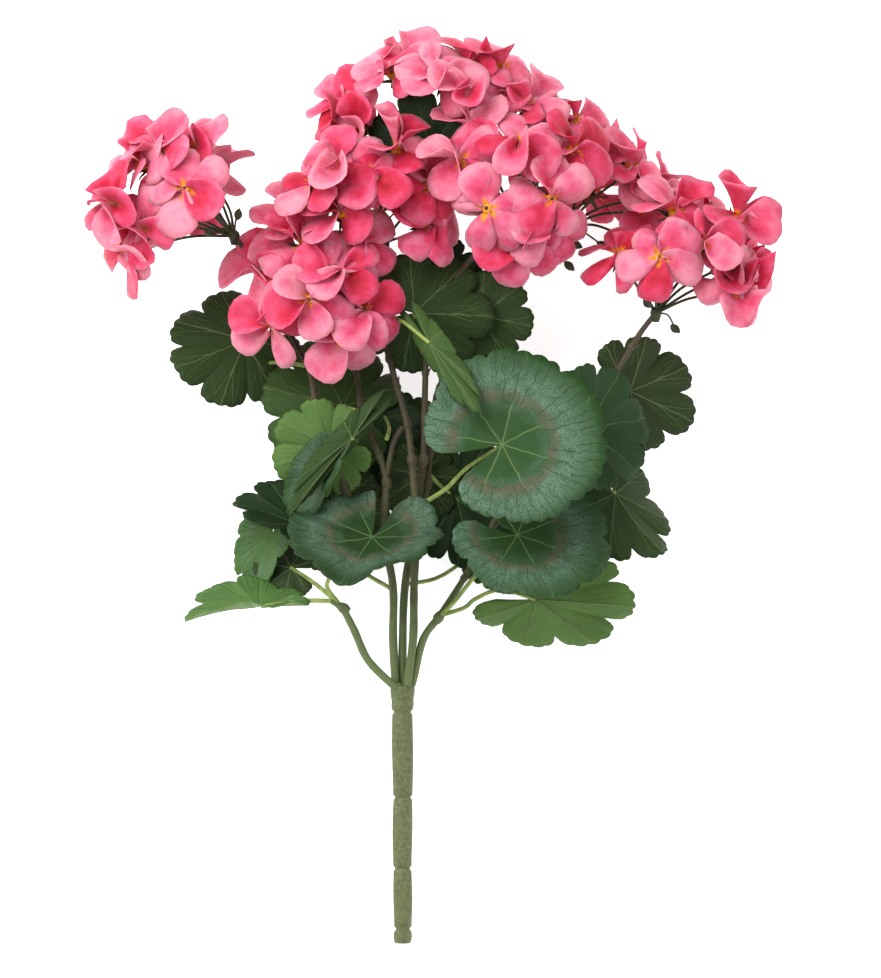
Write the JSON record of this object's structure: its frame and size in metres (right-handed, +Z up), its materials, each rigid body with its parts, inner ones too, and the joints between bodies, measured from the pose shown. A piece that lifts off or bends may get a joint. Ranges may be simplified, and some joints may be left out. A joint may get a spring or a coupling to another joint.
{
  "type": "bunch of artificial geraniums",
  "caption": "Bunch of artificial pink geraniums with fabric flower heads, zoned leaves and a moulded green handle, lying on its back.",
  "frame": {"origin": "centre of the bounding box in x and y, at the surface that the laid bunch rests on", "axes": "+Z up from the surface, +Y along the stems from the cut end of the handle towards the flowers, +X to the right of the bunch seen from above with the flowers at the top"},
  "size_m": [0.304, 0.4018, 0.1241],
  "materials": {
    "petals": "matte",
    "leaves": "matte",
    "stem": "matte",
    "handle": "matte",
    "stamens": "matte"
  },
  "bodies": {
    "root": {"stem_left_shoot": "stem", "stem_of_head_7": "stem", "stem_of_head_3": "stem", "stem_of_head_2": "stem", "stem_of_head_4": "stem", "stem_of_head_1": "stem", "stem_of_head_6": "stem", "stem_of_head_5": "stem", "handle": "handle", "flower_head_1": "petals", "flower_head_2": "petals", "flower_head_3": "petals", "flower_head_4": "petals", "flower_head_5": "petals", "flower_head_6": "petals", "flower_head_7": "petals", "leaf_01": "leaves", "leaf_02": "leaves", "leaf_03": "leaves", "leaf_04": "leaves", "leaf_05": "leaves", "leaf_06": "leaves", "leaf_07": "leaves", "leaf_08": "leaves", "leaf_09": "leaves", "leaf_10": "leaves", "leaf_11": "leaves", "leaf_12": "leaves", "leaf_13": "leaves", "leaf_14": "leaves", "leaf_15": "leaves", "leaf_16": "leaves", "leaf_17": "leaves", "leaf_18": "leaves", "leaf_19": "leaves", "leaf_20": "leaves", "leaf_21": "leaves", "leaf_22": "leaves", "leaf_23": "leaves", "leaf_24": "leaves", "leaf_25": "leaves", "leaf_26": "leaves", "leaf_27": "leaves", "leaf_28": "leaves", "leaf_29": "leaves", "leaf_30": "leaves", "leaf_31": "leaves", "leaf_32": "leaves"}
  },
  "joints": []
}
